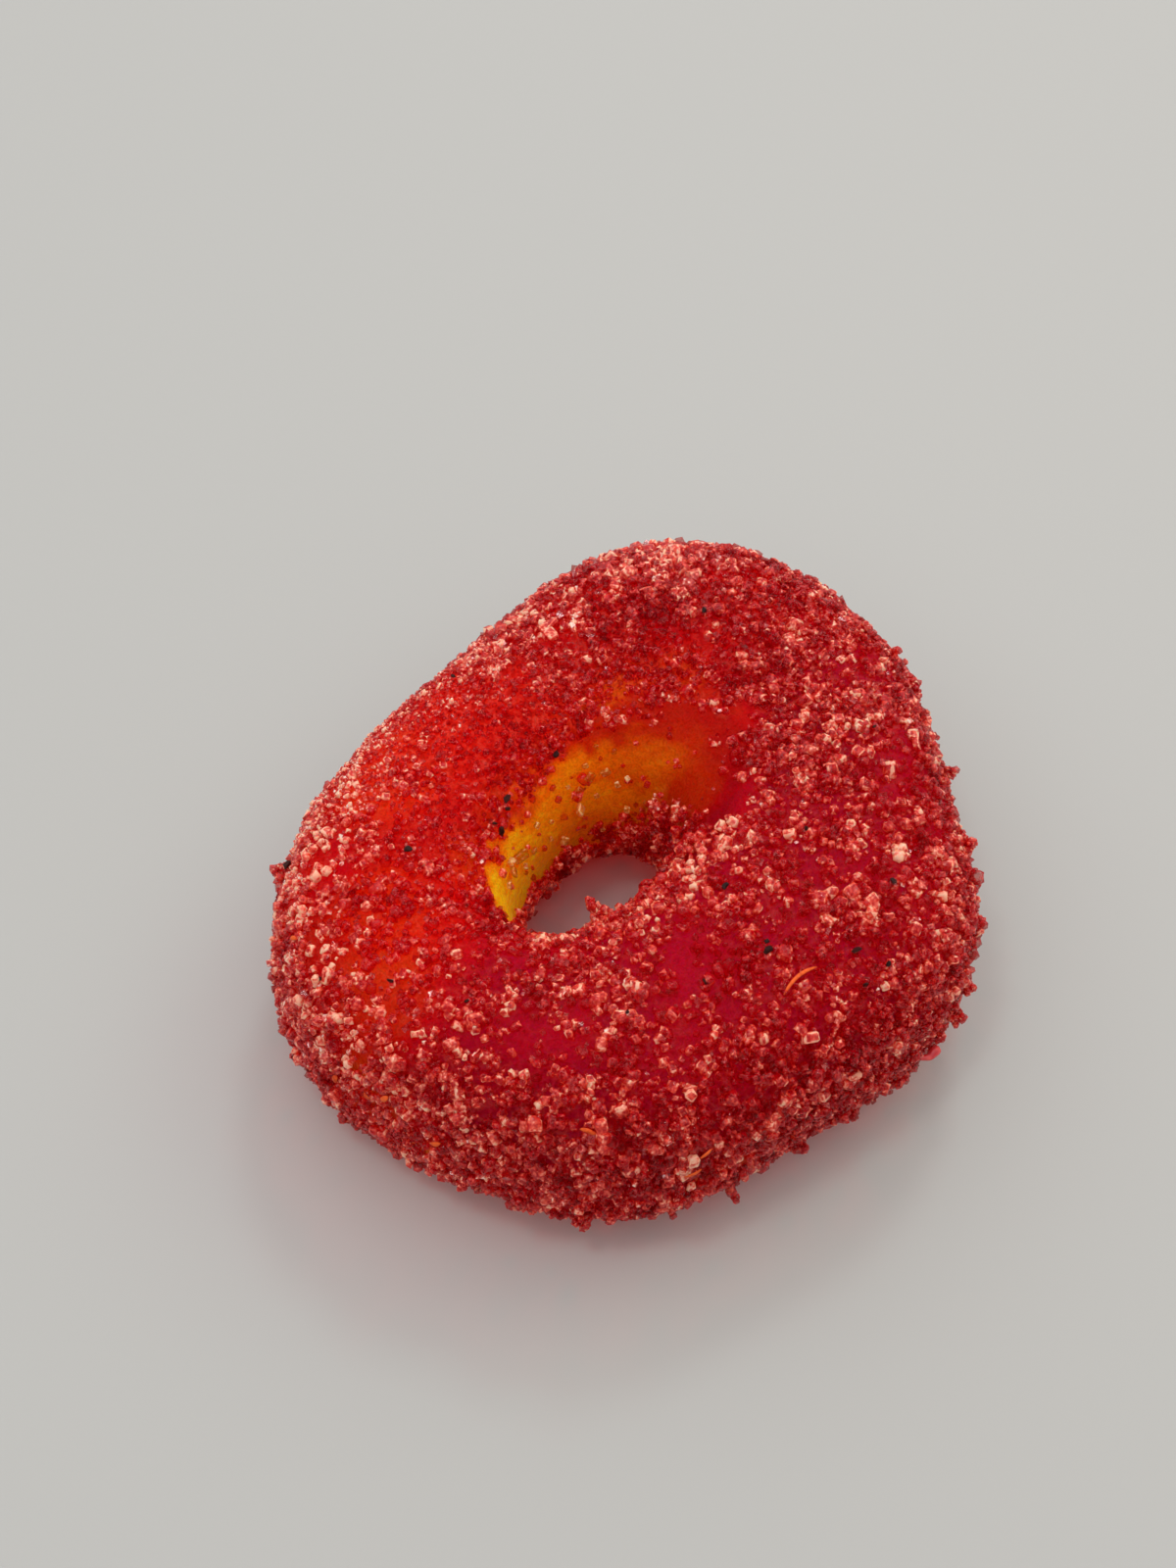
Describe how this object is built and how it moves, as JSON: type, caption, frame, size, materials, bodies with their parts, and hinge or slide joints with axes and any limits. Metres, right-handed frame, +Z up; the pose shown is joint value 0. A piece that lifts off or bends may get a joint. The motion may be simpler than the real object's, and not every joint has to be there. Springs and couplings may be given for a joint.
{
  "type": "peach ring gummy sweet",
  "caption": "Soft jelly ring sweet with a slim oval hole, squashed a little out of round and coated in coarse red sugar.",
  "frame": {"origin": "bottom centre of the ring's bounding box, on the surface it lies on", "axes": "+Z up, out of the hole's upper mouth; X along the long way of the hole, with the higher end at +X; Y across the hole"},
  "size_m": [0.0364, 0.0312, 0.0129],
  "materials": {
    "sugared_jelly": "soft translucent red jelly under a coarse sugar coat"
  },
  "bodies": {
    "root": {"gummy_ring": "sugared_jelly"}
  },
  "joints": []
}
